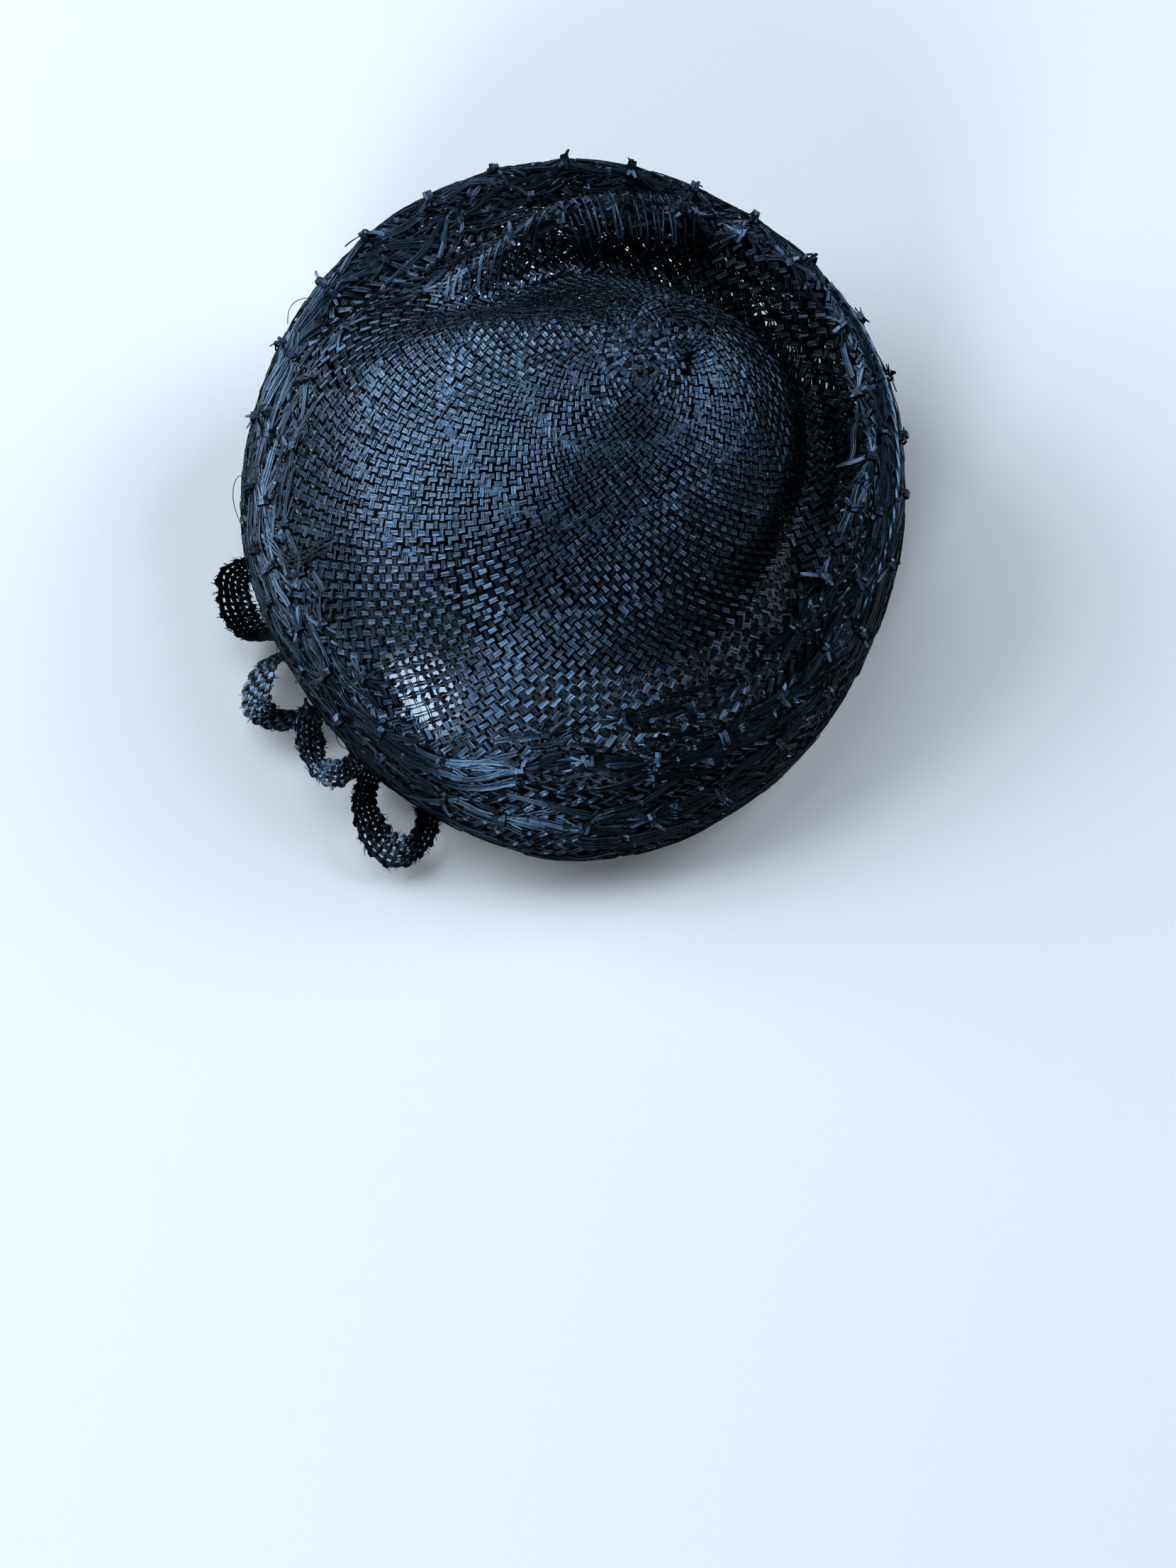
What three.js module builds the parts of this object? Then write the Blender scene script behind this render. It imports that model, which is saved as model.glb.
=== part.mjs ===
// A black woven straw hat with a domed crown, a raised fold across its front and one side, an outer band
// that is turned up in front and rolled under all round, and four loops of woven ribbon at the back.
// Millimetres, +Z up. The front of the hat looks along -Y, and the loops stand out towards +X and +Y.
// The woven walls are smooth shells here: this is the shape that the straw takes, not its strands.

import * as THREE from 'three';

// Driving sizes
const WALL = 2;                    // thickness of the woven straw
const SEAM_GAP = 0.3;              // between the crown and the outer band
const CROWN_HEIGHT = 117;
const SWIRL = { x: -22, y: -17 };  // where the weave of the crown starts, off the middle of the hat
const DOME_POWER = 2.3;            // higher is a flatter top with a steeper side
const DOME_STATIONS = [0.3, 0.6, 0.85];   // parts of the way from the swirl to the valley
const HEAD = { halfWidth: 80, halfLength: 92 };   // the oval opening for the head
const REST_BAND = 15;              // width of the flat band around that opening
const RIBBON_THICKNESS = 1.2;
const AZIMUTH_STEPS = 72;

// Half-sections of the hat, one for each azimuth in degrees, counted from +X towards +Y. Each place on a
// section is [radius, height]. The valley is the low line inside the fold, the fold is the raised line
// around the crown, the seam is where the crown meets the outer band, the lip is the band's upper edge
// and the side is where the hat is widest.
const SECTIONS = [
  { azimuth: 0, valley: [86, 73], fold: [104, 51], seam: [107.5, 47], lip: [114.5, 42], side: [121, 32] },
  { azimuth: 30, valley: [85, 73], fold: [103, 49], seam: [106, 45.5], lip: [111, 39], side: [115.5, 27] },
  { azimuth: 60, valley: [86, 75], fold: [107, 51], seam: [110, 47], lip: [115, 38], side: [119.5, 24] },
  { azimuth: 90, valley: [80, 78], fold: [95.5, 56], seam: [98.5, 52], lip: [113, 39], side: [126, 19] },
  { azimuth: 120, valley: [80, 78], fold: [99, 57], seam: [102, 51], lip: [113, 42], side: [122, 22] },
  { azimuth: 150, valley: [80, 74], fold: [98.5, 70], seam: [102, 54], lip: [111, 51], side: [117, 31] },
  { azimuth: 180, valley: [84, 72], fold: [103, 85], seam: [105, 62], lip: [114, 63], side: [118.5, 42] },
  { azimuth: 210, valley: [86, 76], fold: [105, 93], seam: [108, 68], lip: [117.5, 71], side: [121.5, 52] },
  { azimuth: 240, valley: [76, 82], fold: [99, 100], seam: [106, 72], lip: [119, 77], side: [122, 58] },
  { azimuth: 270, valley: [70, 86], fold: [87, 103], seam: [103, 73], lip: [121, 82], side: [123, 58] },
  { azimuth: 300, valley: [61, 91], fold: [77, 93], seam: [98, 72], lip: [120, 77], side: [123, 55] },
  { azimuth: 330, valley: [82, 86], fold: [101, 72], seam: [108.5, 64], lip: [118.5, 63], side: [124, 48] },
];

// Dents pressed into the crown: where they are, how deep and how wide.
const DENTS = [
  { name: 'gathered hollow beside the ridge', x: -50, y: -80, depth: 7, spread: 10 },
  { name: 'pucker at the end of the ridge', x: 58, y: -66, depth: 4, spread: 9 },
  { name: 'slack weave at the back', x: 52, y: 74, depth: 2.5, spread: 14 },
];

// Steps along each stretch of a section, from the swirl out and under to the head opening
const CROWN_STEPS = { dome: [2, 3, 3, 3], wall: [4, 4] };
const BAND_STEPS = { upper: [3, 4], under: 6 };

// The ribbon loops. Each row is one place along the ribbon, with its outer and its inner edge as
// [azimuth, radius, height]. A start or an end is only [azimuth, height], because it is seated on the
// side of the band: its edges stand off by enough to leave the seam gap past the bulge between them.
const LOOPS = [
  {
    name: 'loop_1',
    standOff: 1.4,
    start: { outer: [1.5, 13], inner: [2.5, 5] },
    rows: [
      { outer: [2.8, 125, 15], inner: [4.2, 120, 7] },
      { outer: [5.2, 131, 17], inner: [6.2, 121.5, 8] },
      { outer: [9.4, 132.5, 17], inner: [8.8, 120.5, 8] },
      { outer: [13.6, 131.5, 16], inner: [11.8, 119, 7] },
      { outer: [17.2, 127, 14], inner: [14.8, 116.5, 6] },
    ],
    end: { outer: [18.8, 11], inner: [16.8, 4] },
  },
  {
    name: 'loop_2',
    standOff: 1.3,
    start: { outer: [20, 6], inner: [23.4, 12] },
    rows: [
      { outer: [20.8, 123, 7], inner: [24, 118, 14] },
      { outer: [23.6, 131, 7], inner: [26, 121, 14] },
      { outer: [27.4, 135.5, 8], inner: [28.8, 125.5, 14] },
      { outer: [31.8, 135, 13], inner: [30.6, 124.5, 8] },
      { outer: [35, 129, 13], inner: [31.8, 119, 6] },
    ],
    end: { outer: [36.6, 10], inner: [33, 4] },
  },
  {
    name: 'loop_3',
    standOff: 0.7,
    start: { outer: [34.2, 22], inner: [38, 16] },
    rows: [
      { outer: [35.6, 121, 21], inner: [39.4, 118, 15] },
      { outer: [38.4, 127, 21], inner: [41.6, 120, 15] },
      { outer: [42, 130.5, 20], inner: [44, 124.5, 16] },
      { outer: [46, 132, 17], inner: [45.6, 125, 21] },
      { outer: [49.2, 129, 16], inner: [47.2, 122.5, 22] },
    ],
    end: { outer: [50.4, 15], inner: [47.8, 21] },
  },
  {
    name: 'loop_4',
    standOff: 1.3,
    start: { outer: [49, 11], inner: [51.6, 4] },
    rows: [
      { outer: [50.6, 124, 12], inner: [52.8, 118.5, 5] },
      { outer: [53.2, 132, 13], inner: [54.8, 123.5, 6] },
      { outer: [56.2, 138, 13], inner: [57.4, 126.5, 7] },
      { outer: [59.6, 141.5, 10], inner: [60, 129.5, 9] },
      { outer: [62.8, 141, 8], inner: [62, 130, 11] },
      { outer: [65, 135, 7], inner: [63, 127, 13] },
      { outer: [66, 126, 6], inner: [62, 120.5, 12] },
    ],
    end: { outer: [65.4, 5], inner: [61, 11] },
  },
];
const LOOP_STEPS = 3;              // steps from one row of a loop to the next

const degrees = THREE.MathUtils.degToRad;

// The value of a column at any azimuth, on a smooth closed curve through the rows of the table
function around(azimuth, place, axis) {
  const count = SECTIONS.length;
  const position = (((azimuth % 360) + 360) % 360) / (360 / count);
  const row = Math.floor(position);
  const t = position - row;
  const value = (step) => SECTIONS[(row + step + count) % count][place][axis];
  const [a, b, c, d] = [value(-1), value(0), value(1), value(2)];
  const bend = (2 * a - 5 * b + 4 * c - d) * t * t + (3 * b - a - 3 * c + d) * t * t * t;
  return b + ((c - a) * t + bend) / 2;
}

function ovalRadius(azimuth, halfWidth, halfLength) {
  const angle = degrees(azimuth);
  return 1 / Math.hypot(Math.cos(angle) / halfWidth, Math.sin(angle) / halfLength);
}

// The section at one azimuth as a curve of (radius, height), from the swirl down to the widest place
function sectionCurve(azimuth) {
  const place = (name) => [around(azimuth, name, 0), around(azimuth, name, 1)];
  const [valleyRadius, valleyHeight] = place('valley');
  const dome = [0, ...DOME_STATIONS].map((part) => [
    valleyRadius * part,
    valleyHeight + (CROWN_HEIGHT - valleyHeight) * (1 - part ** DOME_POWER),
  ]);
  const places = [...dome, ...['valley', 'fold', 'seam', 'lip', 'side'].map(place)];
  const points = places.map(([radius, height]) => new THREE.Vector3(radius, 0, height));
  const [sideRadius, sideHeight] = place('side');
  const below = new THREE.Vector3(sideRadius - 0.02 * sideHeight, 0, sideHeight * 0.72);
  return { curve: new THREE.CatmullRomCurve3([...points, below], false, 'centripetal'), spans: points.length };
}

// A place on that curve, with the direction that points out of the straw
function onSection({ curve, spans }, position) {
  const t = position / spans;
  const point = curve.getPoint(t);
  const along = curve.getTangent(t);
  return { radius: point.x, height: point.z, out: [-along.z, along.x], along: [along.x, along.z] };
}

// The rolled-under part of the band: a quarter ellipse from the widest place to the flat resting band
function underSide(azimuth, part) {
  const side = [around(azimuth, 'side', 0), around(azimuth, 'side', 1)];
  const rest = ovalRadius(azimuth, HEAD.halfWidth + REST_BAND, HEAD.halfLength + REST_BAND);
  const angle = (part * Math.PI) / 2;
  const overhang = side[0] - rest;
  const normal = [Math.cos(angle) / overhang, -Math.sin(angle) / side[1]];
  const length = Math.hypot(...normal);
  return {
    radius: rest + overhang * Math.cos(angle),
    height: side[1] * (1 - Math.sin(angle)),
    out: [normal[0] / length, normal[1] / length],
  };
}

// Radius of the band's outer face at a height below its widest place
function bandRadius(azimuth, height) {
  const part = Math.asin(1 - height / around(azimuth, 'side', 1)) / (Math.PI / 2);
  return underSide(azimuth, part).radius;
}

function dentDepth(x, y) {
  return DENTS.reduce((sum, dent) => {
    const distance = Math.hypot(x - dent.x, y - dent.y) / dent.spread;
    return sum + dent.depth * Math.exp(-distance * distance);
  }, 0);
}

// A place of a section in space. The sections all start at the swirl and drift back to the middle of
// the hat as they reach the valley.
function inSpace(azimuth, radius, height) {
  const reach = Math.min(1, radius / around(azimuth, 'valley', 0));
  const drift = (1 - reach * reach) ** 2;
  const x = radius * Math.cos(degrees(azimuth)) + SWIRL.x * drift;
  const y = radius * Math.sin(degrees(azimuth)) + SWIRL.y * drift;
  return [x, y, height];
}

// Stations from the first place of a list of stretches to its last, with some steps in each stretch
function stations(first, steps) {
  const list = [first];
  steps.forEach((count, stretch) => {
    for (let step = 1; step <= count; step += 1) list.push(first + stretch + step / count);
  });
  return list;
}

function crownSection(azimuth) {
  const section = sectionCurve(azimuth);
  const list = stations(0, [...CROWN_STEPS.dome, ...CROWN_STEPS.wall]);
  return list.map((position) => onSection(section, position));
}

function bandSection(azimuth) {
  const section = sectionCurve(azimuth);
  const seam = CROWN_STEPS.dome.length + CROWN_STEPS.wall.length;
  const upper = stations(seam, BAND_STEPS.upper).map((position) => onSection(section, position));
  upper[0].radius += upper[0].along[0] * SEAM_GAP;
  upper[0].height += upper[0].along[1] * SEAM_GAP;
  const under = [];
  for (let step = 1; step <= BAND_STEPS.under; step += 1) under.push(underSide(azimuth, step / BAND_STEPS.under));
  const head = ovalRadius(azimuth, HEAD.halfWidth, HEAD.halfLength);
  return [...upper, ...under, { radius: head, height: 0, out: [0, -1] }];
}

// A closed body from loops of points, all with the same number of points: each loop is joined to the
// next, and the last to the first. A loop may be a single point, at a pole.
class Body {
  constructor() {
    this.positions = [];
    this.indices = [];
  }

  ring(points) {
    const first = this.positions.length / 3;
    points.forEach((point) => this.positions.push(...point));
    return points.map((_, index) => first + index);
  }

  quad(a, b, c, d) {
    this.indices.push(a, b, c, a, c, d);
  }

  join(upper, lower) {
    const count = Math.max(upper.length, lower.length);
    for (let i = 0; i < count; i += 1) {
      const j = (i + 1) % count;
      if (upper.length === 1) this.indices.push(upper[0], lower[i], lower[j]);
      else if (lower.length === 1) this.indices.push(lower[0], upper[j], upper[i]);
      else this.quad(upper[i], lower[i], lower[j], upper[j]);
    }
  }

  geometry() {
    const geometry = new THREE.BufferGeometry();
    geometry.setAttribute('position', new THREE.Float32BufferAttribute(this.positions, 3));
    geometry.setIndex(this.indices);
    geometry.computeVertexNormals();
    return geometry;
  }
}

// Turns sections into a woven wall: outer places, and the same places moved in by the wall
function wallGeometry(sectionAt, startsAtPole) {
  const sections = [];
  for (let step = 0; step < AZIMUTH_STEPS; step += 1) {
    const azimuth = (step * 360) / AZIMUTH_STEPS;
    const outer = sectionAt(azimuth);
    const inner = outer.map(({ radius, height, out }) => ({
      radius: radius - out[0] * WALL,
      height: height - out[1] * WALL,
    }));
    sections.push({ azimuth, outer, inner });
  }
  const body = new Body();
  const lastRow = sections[0].outer.length - 1;
  const rings = (side) => sections[0][side].map((_, row) => {
    const dented = startsAtPole ? Math.min(1, (lastRow - row) / CROWN_STEPS.wall[1]) : 0;
    const points = sections.map((section) => {
      const { radius, height } = section[side][row];
      const [x, y, z] = inSpace(section.azimuth, radius, height);
      return [x, y, z - dented * dentDepth(x, y)];
    });
    if (startsAtPole && row === 0) return body.ring([[SWIRL.x, SWIRL.y, points[0][2]]]);
    return body.ring(points);
  });
  const outer = rings('outer');
  const inner = rings('inner').reverse();
  const around = [...outer, ...inner];
  for (let row = 0; row + 1 < around.length; row += 1) body.join(around[row], around[row + 1]);
  if (!startsAtPole) body.join(around[around.length - 1], around[0]);
  return body.geometry();
}

function polarPoint([azimuth, radius, height]) {
  const angle = degrees(azimuth);
  return new THREE.Vector3(radius * Math.cos(angle), radius * Math.sin(angle), height);
}

// The foot of a ribbon edge on the side of the band
function seat([azimuth, height], standOff) {
  return polarPoint([azimuth, bandRadius(azimuth, height) + standOff, height]);
}

function ribbonGeometry({ standOff, start, rows, end }) {
  const edge = (name) => {
    const between = rows.map((row) => polarPoint(row[name]));
    return [seat(start[name], standOff), ...between, seat(end[name], standOff)];
  };
  const outer = new THREE.CatmullRomCurve3(edge('outer'), false, 'centripetal');
  const inner = new THREE.CatmullRomCurve3(edge('inner'), false, 'centripetal');
  const count = (rows.length + 1) * LOOP_STEPS;
  const body = new Body();
  const rings = [];
  for (let step = 0; step <= count; step += 1) {
    const t = step / count;
    const [p, q] = [outer.getPoint(t), inner.getPoint(t)];
    const along = outer.getTangent(t).add(inner.getTangent(t)).normalize();
    const half = along.clone().cross(q.clone().sub(p)).setLength(RIBBON_THICKNESS / 2);
    const corners = [p.clone().sub(half), p.clone().add(half), q.clone().add(half), q.clone().sub(half)];
    rings.push(body.ring(corners.map((corner) => corner.toArray())));
  }
  for (let step = 0; step < count; step += 1) body.join(rings[step], rings[step + 1]);
  const [first, last] = [rings[0], rings[count]];
  body.quad(...first);
  body.quad(...last.reverse());
  return body.geometry();
}

function strawMaterial(colour, roughness) {
  return new THREE.MeshStandardMaterial({ color: colour, roughness, metalness: 0 });
}

function piece(name, geometry, material) {
  const mesh = new THREE.Mesh(geometry, material);
  mesh.name = name;
  return mesh;
}

const hat = new THREE.Group();
hat.add(piece('crown', wallGeometry(crownSection, true), strawMaterial(0x14161a, 0.35)));
hat.add(piece('brim', wallGeometry(bandSection, false), strawMaterial(0x111317, 0.4)));
LOOPS.forEach((loop) => hat.add(piece(loop.name, ribbonGeometry(loop), strawMaterial(0x1a1c22, 0.45))));

// The origin is under the middle of the whole hat, on the plane that it rests on.
const box = new THREE.Box3().setFromObject(hat);
const middle = box.getCenter(new THREE.Vector3());
hat.position.set(-middle.x, -middle.y, -box.min.z);

export default hat;
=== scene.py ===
# %% [markdown]
# A black straw hat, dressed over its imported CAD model. On the real hat there is no cloth at all: every
# wall is flat straw, plaited over and under itself and left open enough to see daylight through. The CAD
# model has the walls as smooth shells. This lesson lays strands of straw on those shells, one by one.

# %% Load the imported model
import math

import bpy
import numpy as np
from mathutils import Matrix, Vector


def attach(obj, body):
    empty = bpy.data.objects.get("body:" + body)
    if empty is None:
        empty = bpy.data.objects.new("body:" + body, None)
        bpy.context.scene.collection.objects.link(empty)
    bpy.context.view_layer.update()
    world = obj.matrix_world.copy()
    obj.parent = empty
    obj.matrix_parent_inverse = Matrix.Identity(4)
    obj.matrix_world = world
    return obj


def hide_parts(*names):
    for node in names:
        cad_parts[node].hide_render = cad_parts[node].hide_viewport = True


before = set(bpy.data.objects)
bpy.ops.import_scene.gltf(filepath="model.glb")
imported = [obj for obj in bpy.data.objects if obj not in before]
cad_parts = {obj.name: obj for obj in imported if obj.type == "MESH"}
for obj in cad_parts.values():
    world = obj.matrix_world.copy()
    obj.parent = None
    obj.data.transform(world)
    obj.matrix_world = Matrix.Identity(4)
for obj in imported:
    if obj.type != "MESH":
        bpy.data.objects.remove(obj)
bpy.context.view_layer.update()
chance = np.random.default_rng(17)

# %% [markdown]
# The hat is seen from behind and above, from 85 cm away. A lens of 54 mm at that distance keeps the dome
# round. The camera's aim is a point on the floor near the back of the hat, which puts the hat high in the
# picture with the whole of its low back edge in view.

# %% Camera
MM = 0.001
HAT_SHIFT = np.array([-6.50, -1.31, 0.0])     # from the hat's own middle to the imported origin, in mm
CAMERA_PLACE = (np.array([0.0, 426.0, 778.85]) + HAT_SHIFT) * MM
CAMERA_AIM = (np.array([-3.95, 90.57, 0.0]) + HAT_SHIFT) * MM

camera_data = bpy.data.cameras.new("camera")
camera_data.lens = 54.1
camera_data.sensor_width = 36.0
camera_data.clip_start = 0.01
camera = bpy.data.objects.new("camera", camera_data)
bpy.context.scene.collection.objects.link(camera)
camera.location = Vector(CAMERA_PLACE)
camera.rotation_euler = Vector(CAMERA_AIM - CAMERA_PLACE).to_track_quat("-Z", "Y").to_euler()
bpy.context.scene.camera = camera
print("camera at", tuple(round(v, 3) for v in camera.location))

# %% [markdown]
# The hat rests on a plain pale floor. Its plait is open, so the floor would shine through every small hole
# and turn the black straw grey. A dark card on the floor inside the hollow is painted shade there, and
# keeps the holes black.

# %% Floor and a dark card of painted shade
FLOOR_SIZE = 6.0             # metres
CARD_RADIUS = 0.068
CARD_PLACE = (-0.016, -0.022, 0.0004)


def stage_piece(name, colour):
    """Names the shape that was just made and gives it a matt finish."""
    piece = bpy.context.object
    piece.name = name
    finish = bpy.data.materials.new(name)
    finish.use_nodes = True
    shader = finish.node_tree.nodes["Principled BSDF"]
    shader.inputs["Base Color"].default_value = (*colour, 1)
    shader.inputs["Roughness"].default_value = 0.9
    shader.inputs["Specular IOR Level"].default_value = 0.1
    piece.data.materials.append(finish)


bpy.ops.mesh.primitive_plane_add(size=FLOOR_SIZE, location=(0, 0, 0))
stage_piece("floor", (0.206, 0.217, 0.230))
# Painted shade: a near-black card on the floor inside the hollow, so that the holes of the plait show dark.
bpy.ops.mesh.primitive_circle_add(vertices=64, radius=CARD_RADIUS, fill_type="NGON", location=CARD_PLACE)
stage_piece("painted_shade_card", (0.001, 0.001, 0.001))
print("floor of", FLOOR_SIZE, "m and a dark card of", round(2000 * CARD_RADIUS), "mm across")

# %% [markdown]
# Black straw shows its form by its highlights alone, so the light matters more than the colour. A large
# soft light at one side, as from a window, puts a broad sheen on each strand, a second one hangs overhead,
# a third fills the far side, and a smaller one behind the camera picks out the low band at the back.

# %% Studio lights
def soft_light(name, place, aim, size, watts, colour):
    data = bpy.data.lights.new(name, "AREA")
    data.shape = "DISK"
    data.size = size
    data.energy = watts
    data.color = colour
    light = bpy.data.objects.new(name, data)
    light.location = place
    light.rotation_euler = (Vector(aim) - Vector(place)).to_track_quat("-Z", "Y").to_euler()
    bpy.context.scene.collection.objects.link(light)
    print(name, watts, "W,", round(Vector(place).length, 1), "m away")


soft_light("window_light", (2.0, -0.6, 1.3), (0, 0, 0.05), 2.2, 225, (0.93, 0.97, 1.0))
soft_light("overhead_light", (0.5, -1.0, 2.0), (0, 0, 0.06), 1.9, 60, (0.92, 0.97, 1.0))
soft_light("fill_light", (-1.9, -0.8, 1.5), (0, 0, 0.02), 1.6, 140, (0.92, 0.96, 1.0))
soft_light("back_light", (0.7, 2.2, 1.0), (0, 0, 0.03), 0.9, 125, (0.95, 0.98, 1.0))

# %% [markdown]
# Near the back the straw has been pulled apart, and the bare place shows white between its strands, like
# the gaps of a ladder. A small spot inside the hollow lights just the bit of floor that the camera sees
# through it, and its cone leaves the rest of the hollow dark.

# %% Lamp inside the hat
ladder_light = bpy.data.lights.new("ladder_light", "SPOT")
ladder_light.energy = 0.2
ladder_light.color = (0.72, 0.86, 1.0)
ladder_light.spot_size = math.radians(62)
ladder_light.spot_blend = 0.5
ladder_light.shadow_soft_size = 0.004
lamp = bpy.data.objects.new("ladder_light", ladder_light)
lamp.location = (0.052, 0.054, 0.037)
bpy.context.scene.collection.objects.link(lamp)
print("lamp inside the hat,", round(ladder_light.energy, 2), "W")

# %% [markdown]
# The rest of the studio is nearly dark, because light from everywhere at once would flatten the weave. A
# display gamma below 1 deepens the dark tones more than the pale ones, for the strong contrast that a
# photograph of black straw on a pale ground has.

# %% World and view
world = bpy.data.worlds.new("studio")
bpy.context.scene.world = world
world.use_nodes = True
world.node_tree.nodes["Background"].inputs["Color"].default_value = (0.80, 0.91, 1.0, 1)
world.node_tree.nodes["Background"].inputs["Strength"].default_value = 0.05
bpy.context.scene.view_settings.view_transform = "Standard"
bpy.context.scene.view_settings.gamma = 0.7

# %% [markdown]
# The strands need to know where the hat's surface is. It is the CAD's own surface, made again from the
# same half-sections: the valley, the raised fold, the seam, the lip of the outer band and its widest side.
# A smooth closed curve joins each column of the table around the hat.

# %% The hat's half-sections
SECTION_COLUMNS = ("valley radius", "valley height", "fold radius", "fold height", "seam radius",
                   "seam height", "lip radius", "lip height", "side radius", "side height")
SECTIONS = {   # azimuth in degrees, and the columns in mm
    0: (86, 73, 104, 51, 107.5, 47, 114.5, 42, 121, 32),
    30: (85, 73, 103, 49, 106, 45.5, 111, 39, 115.5, 27),
    60: (86, 75, 107, 51, 110, 47, 115, 38, 119.5, 24),
    90: (80, 78, 95.5, 56, 98.5, 52, 113, 39, 126, 19),
    120: (80, 78, 99, 57, 102, 51, 113, 42, 122, 22),
    150: (80, 74, 98.5, 70, 102, 54, 111, 51, 117, 31),
    180: (84, 72, 103, 85, 105, 62, 114, 63, 118.5, 42),
    210: (86, 76, 105, 93, 108, 68, 117.5, 71, 121.5, 52),
    240: (76, 82, 99, 100, 106, 72, 119, 77, 122, 58),
    270: (70, 86, 87, 103, 103, 73, 121, 82, 123, 58),
    300: (61, 91, 77, 93, 98, 72, 120, 77, 123, 55),
    330: (82, 86, 101, 72, 108.5, 64, 118.5, 63, 124, 48),
}
CROWN_HEIGHT = 117.0
SWIRL = np.array([-22.0, -17.0])
DOME_POWER = 2.3
DOME_STATIONS = (0.0, 0.3, 0.6, 0.85)
HEAD_OVAL = (80.0, 92.0)
REST_BAND = 15.0
DENTS = ((-50, -80, 7, 10), (58, -66, 4, 9), (52, 74, 2.5, 14))     # x, y, depth, spread
AROUND = 720                 # columns of the surface's grid
PER_SPAN = 16                # rows of the grid from one named place to the next
# A row position counts the named places from the swirl at 0. The valley is 4, the fold 5 and the lip 7.
SEAM, SIDE, REST, OPENING = 6, 8, 9, 10


def around_hat(azimuths):
    table = np.array(list(SECTIONS.values()), float)
    position = (azimuths % 360) / (360 / len(table))
    row = np.floor(position).astype(int)
    t = (position - row)[:, None]
    a, b, c, d = (table[(row + step) % len(table)] for step in (-1, 0, 1, 2))
    bend = (2 * a - 5 * b + 4 * c - d) * t**2 + (3 * b - a - 3 * c + d) * t**3
    return b + ((c - a) * t + bend) / 2


azimuths = np.arange(AROUND) * 360 / AROUND
columns = around_hat(azimuths)
print("half-sections at", AROUND, "azimuths, each with", len(SECTION_COLUMNS), "values")

# %% [markdown]
# Each half-section is a centripetal Catmull-Rom curve, the kind that never loops back at a tight bend. It
# goes through all its points, so the fold and the seam stay where the table puts them.

# %% Curve through points
def curve_between(p0, p1, p2, p3, t):
    """The curve from p1 to p2, at the part t of the way, with p0 before it and p3 after it."""
    d0, d1, d2 = (np.linalg.norm(b - a, axis=1)[:, None]**0.5 for a, b in ((p0, p1), (p1, p2), (p2, p3)))
    m1 = ((p1 - p0) / d0 - (p2 - p0) / (d0 + d1) + (p2 - p1) / d1) * d1
    m2 = ((p2 - p1) / d1 - (p3 - p1) / (d1 + d2) + (p3 - p2) / d2) * d1
    return p1 + m1 * t + (3 * (p2 - p1) - 2 * m1 - m2) * t**2 + (2 * (p1 - p2) + m1 + m2) * t**3


def section_points():
    valley_r, valley_z = columns[:, 0], columns[:, 1]
    dome = [np.stack([valley_r * part, valley_z + (CROWN_HEIGHT - valley_z) * (1 - part**DOME_POWER)], 1)
            for part in DOME_STATIONS]
    places = [columns[:, 2 * i:2 * i + 2] for i in range(5)]
    side = places[-1]
    below = np.stack([side[:, 0] - 0.02 * side[:, 1], side[:, 1] * 0.72], 1)
    points = np.stack([*dome, *places, below], 1)
    first = 2 * points[:, :1] - points[:, 1:2]
    last = 2 * points[:, -1:] - points[:, -2:-1]
    return np.concatenate([first, points, last], 1)


def on_curve(points, position):
    step = min(int(position), 8)
    return curve_between(*(points[:, step + i] for i in range(4)), position - step)


curve_points = section_points()
print("each half-section's curve goes through", curve_points.shape[1] - 2, "points")

# %% [markdown]
# Past the widest side the band rolls under as a quarter ellipse, down to the flat ring it rests on. The
# dome leans towards the swirl, which sits off the middle, and three shallow dents are pressed into it. The
# grid's rows and columns give two directions at each place and, across them, the way outward.

# %% Surface grid
def oval(half_width, half_length):
    angle = np.radians(azimuths)
    return 1 / np.hypot(np.cos(angle) / half_width, np.sin(angle) / half_length)


def surface_row(points, position):
    rest = oval(HEAD_OVAL[0] + REST_BAND, HEAD_OVAL[1] + REST_BAND)
    if position <= SIDE:
        radius, height = on_curve(points, position).T
    elif position <= REST:
        angle = (position - SIDE) * math.pi / 2
        radius = rest + (columns[:, 8] - rest) * math.cos(angle)
        height = columns[:, 9] * (1 - math.sin(angle))
    else:
        radius = rest + (oval(*HEAD_OVAL) - rest) * (position - REST)
        height = 0 * radius
    drift = (1 - np.minimum(1, radius / columns[:, 0])**2)**2
    angle = np.radians(azimuths)
    x = radius * np.cos(angle) + SWIRL[0] * drift
    y = radius * np.sin(angle) + SWIRL[1] * drift
    dented = min(1.0, max(0.0, SEAM - position))
    for dent_x, dent_y, depth, spread in DENTS:
        away = ((x - dent_x)**2 + (y - dent_y)**2) / spread**2
        height = height - dented * depth * np.exp(-away)
    return np.stack([x, y, height], 1)


rows = np.arange(OPENING * PER_SPAN + 1) / PER_SPAN
surface = np.stack([surface_row(curve_points, position) for position in rows])
along_rows = np.gradient(surface, axis=0)
along_rows[0] = along_rows[1]
along_turn = (np.roll(surface, -1, 1) - np.roll(surface, 1, 1)) / (2 * math.radians(360 / AROUND))
outward = np.cross(along_rows, along_turn)
outward[0] = (0, 0, 1)
outward /= np.linalg.norm(outward, axis=2)[:, :, None]
print("surface grid", surface.shape[:2], "top at", round(surface[0, 0, 2], 1), "mm")

# %% [markdown]
# A plait has two families of strands. One winds outwards to the left and the other to the right, and they
# cross over and under in turn. To draw it on a curved wall I measure, along each half-section, how far a
# strand turns round the hat on its way out: that number I call the turn. A strand then is a straight line
# of azimuth against turn. Where the plait is flattened, as on the outer band, a strand turns faster.

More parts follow.
